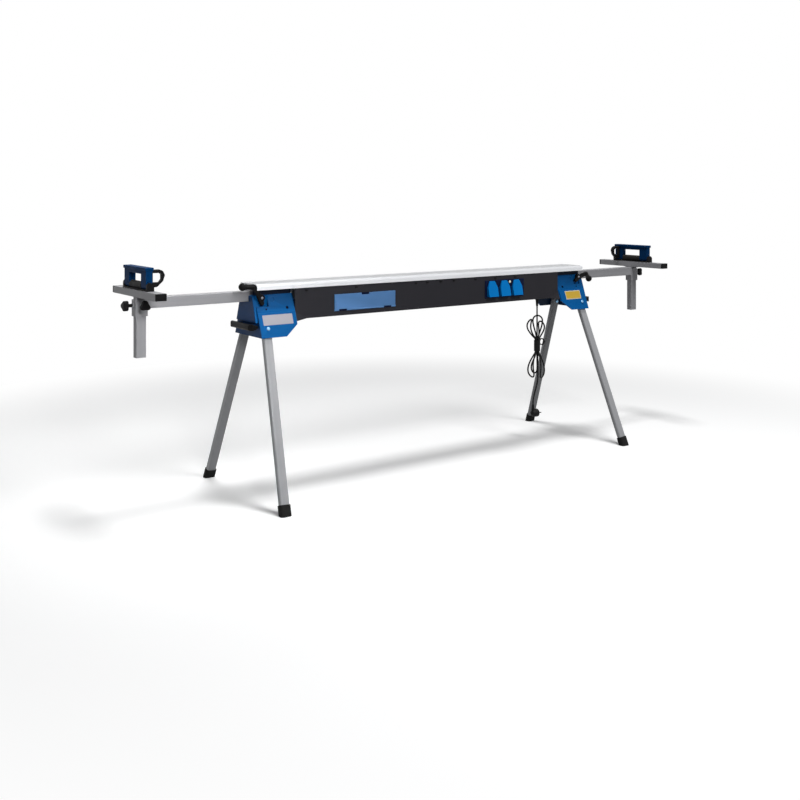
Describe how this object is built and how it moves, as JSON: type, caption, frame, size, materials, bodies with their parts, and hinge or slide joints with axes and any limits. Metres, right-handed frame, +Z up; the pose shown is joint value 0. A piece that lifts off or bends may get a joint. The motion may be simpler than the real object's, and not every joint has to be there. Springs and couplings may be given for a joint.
{
  "type": "folding saw stand",
  "caption": "Folding trestle stand for a mitre saw: a long rail on splayed folding legs, sliding arms with height-adjustable work rests, sockets, a storage bin and a hanging mains cord.",
  "frame": {"origin": "on the floor under the middle of the whole length, cord left out", "axes": "+X along the beam to the socket end, +Y to the back (away from lid and sockets), +Z up"},
  "size_m": [2.8604, 0.694, 0.9378],
  "materials": {
    "rail": "extruded, satin",
    "beam_aluminium": "extruded, satin",
    "arm_aluminium": "extruded, matt",
    "leg_aluminium": "extruded, satin",
    "cover_black": "fine grained black",
    "bin_navy": "moulded, dark",
    "lid_blue": "smooth light blue",
    "socket_navy": "moulded, dark blue",
    "flap_blue": "smooth bright blue",
    "lamp_cream": "translucent lens",
    "housing_blue": "smooth blue",
    "stop_blue": "smooth dark blue",
    "handle_black": "moulded black",
    "knob_black": "moulded black",
    "cap_black": "moulded black",
    "base_black": "moulded black",
    "gland_black": "moulded black",
    "plug_black": "moulded rubber, steel pins",
    "roller_black": "rubber sleeve",
    "foot_rubber": "moulded rubber",
    "cord_rubber": "smooth rubber jacket",
    "tie_black": "flexible strap",
    "pin_steel": "plated steel"
  },
  "bodies": {
    "stand": {"top_rail": "rail", "beam": "beam_aluminium", "beam_cover": "cover_black", "storage_bin": "bin_navy", "lid_pin": "pin_steel", "socket_block": "socket_navy", "pilot_lamp": "lamp_cream", "housing_left": "housing_blue", "housing_right": "housing_blue", "cable_gland": "gland_black", "cord_lead": "cord_rubber", "cord_hank": "cord_rubber", "cord_tie": "tie_black", "cord_tail": "cord_rubber", "mains_plug": "plug_black", "leg_bolt_front_left": "pin_steel", "leg_bolt_rear_left": "pin_steel", "leg_bolt_front_right": "pin_steel", "leg_bolt_rear_right": "pin_steel"},
    "lid": {"storage_lid": "lid_blue"},
    "flap_1": {"socket_flap_1": "flap_blue"},
    "flap_2": {"socket_flap_2": "flap_blue"},
    "flap_3": {"socket_flap_3": "flap_blue"},
    "arm_body_left": {"arm_left": "arm_aluminium"},
    "post_body_left": {"support_post_left": "arm_aluminium", "bar_cap_front_left": "cap_black", "bar_cap_rear_left": "cap_black", "rest_base_left": "base_black"},
    "stop_body_left": {"work_stop_left": "stop_blue", "grip_left": "handle_black"},
    "roller_body_left": {"roller_left": "roller_black"},
    "knob_outer_body_left": {"knob_outer_left": "knob_black"},
    "knob_side_body_left": {"knob_side_left": "knob_black"},
    "leg_body_front_left": {"leg_front_left": "leg_aluminium", "foot_front_left": "foot_rubber"},
    "leg_body_rear_left": {"leg_rear_left": "leg_aluminium", "foot_rear_left": "foot_rubber"},
    "release_body_left": {"release_handle_left": "handle_black"},
    "lever_body_left": {"clamp_lever_left": "handle_black"},
    "arm_body_right": {"arm_right": "arm_aluminium"},
    "post_body_right": {"support_post_right": "arm_aluminium", "bar_cap_front_right": "cap_black", "bar_cap_rear_right": "cap_black", "rest_base_right": "base_black"},
    "stop_body_right": {"work_stop_right": "stop_blue", "grip_right": "handle_black"},
    "roller_body_right": {"roller_right": "roller_black"},
    "knob_outer_body_right": {"knob_outer_right": "knob_black"},
    "knob_side_body_right": {"knob_side_right": "knob_black"},
    "leg_body_front_right": {"leg_front_right": "leg_aluminium", "foot_front_right": "foot_rubber"},
    "leg_body_rear_right": {"leg_rear_right": "leg_aluminium", "foot_rear_right": "foot_rubber"},
    "release_body_right": {"release_handle_right": "handle_black"},
    "lever_body_right": {"clamp_lever_right": "handle_black"}
  },
  "joints": [
    {"name": "lid_hinge", "type": "hinge", "parent": "stand", "child": "lid", "pos_m": [-0.3885, -0.0745, 0.7235], "axis": [1, 0, 0], "range_deg": [0, 100]},
    {"name": "flap_hinge_1", "type": "hinge", "parent": "stand", "child": "flap_1", "pos_m": [0.3235, -0.08005, 0.80025], "axis": [-1, 0, 0], "range_deg": [0, 100], "stiffness_Nm_per_rad": 0.02, "springref_deg": -20.05},
    {"name": "flap_hinge_2", "type": "hinge", "parent": "stand", "child": "flap_2", "pos_m": [0.3995, -0.08005, 0.80025], "axis": [-1, 0, 0], "range_deg": [0, 100], "stiffness_Nm_per_rad": 0.02, "springref_deg": -20.05},
    {"name": "flap_hinge_3", "type": "hinge", "parent": "stand", "child": "flap_3", "pos_m": [0.4755, -0.08005, 0.80025], "axis": [-1, 0, 0], "range_deg": [0, 100], "stiffness_Nm_per_rad": 0.02, "springref_deg": -20.05},
    {"name": "arm_slide_left", "type": "slide", "parent": "stand", "child": "arm_body_left", "axis": [-1, 0, 0], "range_m": [-0.34, 0.3]},
    {"name": "post_slide_left", "type": "slide", "parent": "arm_body_left", "child": "post_body_left", "axis": [0, 0, 1], "range_m": [0, 0.15]},
    {"name": "stop_hinge_left", "type": "hinge", "parent": "post_body_left", "child": "stop_body_left", "pos_m": [-1.3625, 0.015, 0.8688], "axis": [0, -1, 0], "range_deg": [0, 90]},
    {"name": "roller_spin_left", "type": "hinge", "parent": "post_body_left", "child": "roller_body_left", "pos_m": [-1.3625, 0.015, 0.8688], "axis": [0, 1, 0], "continuous": true},
    {"name": "knob_outer_turn_left", "type": "hinge", "parent": "arm_body_left", "child": "knob_outer_body_left", "pos_m": [-1.3828, 0, 0.79208], "axis": [-1, 0, 0], "continuous": true},
    {"name": "knob_side_turn_left", "type": "hinge", "parent": "arm_body_left", "child": "knob_side_body_left", "pos_m": [-1.3625, -0.0153, 0.79208], "axis": [0, -1, 0], "continuous": true},
    {"name": "leg_fold_front_left", "type": "hinge", "parent": "stand", "child": "leg_body_front_left", "pos_m": [-0.8715, -0.0845, 0.668], "axis": [0, -0.9386, 0.345], "range_deg": [0, 94]},
    {"name": "leg_fold_rear_left", "type": "hinge", "parent": "stand", "child": "leg_body_rear_left", "pos_m": [-0.8715, 0.0845, 0.668], "axis": [0, -0.9386, -0.345], "range_deg": [0, 94]},
    {"name": "release_hinge_left", "type": "hinge", "parent": "stand", "child": "release_body_left", "pos_m": [-0.9157, 0, 0.682], "axis": [0, 1, 0], "range_deg": [0, 25], "stiffness_Nm_per_rad": 0.5, "springref_deg": -11.46},
    {"name": "clamp_hinge_left", "type": "hinge", "parent": "stand", "child": "lever_body_left", "pos_m": [-0.8815, -0.0638, 0.795], "axis": [0, -1, 0], "range_deg": [0, 40]},
    {"name": "arm_slide_right", "type": "slide", "parent": "stand", "child": "arm_body_right", "axis": [1, 0, 0], "range_m": [-0.34, 0.3]},
    {"name": "post_slide_right", "type": "slide", "parent": "arm_body_right", "child": "post_body_right", "axis": [0, 0, 1], "range_m": [0, 0.15]},
    {"name": "stop_hinge_right", "type": "hinge", "parent": "post_body_right", "child": "stop_body_right", "pos_m": [1.3625, -0.006, 0.8688], "axis": [0, 1, 0], "range_deg": [0, 90]},
    {"name": "roller_spin_right", "type": "hinge", "parent": "post_body_right", "child": "roller_body_right", "pos_m": [1.3625, -0.006, 0.8688], "axis": [0, 1, 0], "continuous": true},
    {"name": "knob_outer_turn_right", "type": "hinge", "parent": "arm_body_right", "child": "knob_outer_body_right", "pos_m": [1.3828, 0, 0.79208], "axis": [1, 0, 0], "continuous": true},
    {"name": "knob_side_turn_right", "type": "hinge", "parent": "arm_body_right", "child": "knob_side_body_right", "pos_m": [1.3625, 0.0153, 0.79208], "axis": [0, 1, 0], "continuous": true},
    {"name": "leg_fold_front_right", "type": "hinge", "parent": "stand", "child": "leg_body_front_right", "pos_m": [0.8845, -0.0845, 0.668], "axis": [0, 0.9386, -0.345], "range_deg": [0, 94]},
    {"name": "leg_fold_rear_right", "type": "hinge", "parent": "stand", "child": "leg_body_rear_right", "pos_m": [0.8845, 0.0845, 0.668], "axis": [0, 0.9386, 0.345], "range_deg": [0, 94]},
    {"name": "release_hinge_right", "type": "hinge", "parent": "stand", "child": "release_body_right", "pos_m": [0.9287, 0, 0.682], "axis": [0, -1, 0], "range_deg": [0, 25], "stiffness_Nm_per_rad": 0.5, "springref_deg": -11.46},
    {"name": "clamp_hinge_right", "type": "hinge", "parent": "stand", "child": "lever_body_right", "pos_m": [0.8945, -0.0638, 0.795], "axis": [0, -1, 0], "range_deg": [0, 40]}
  ]
}
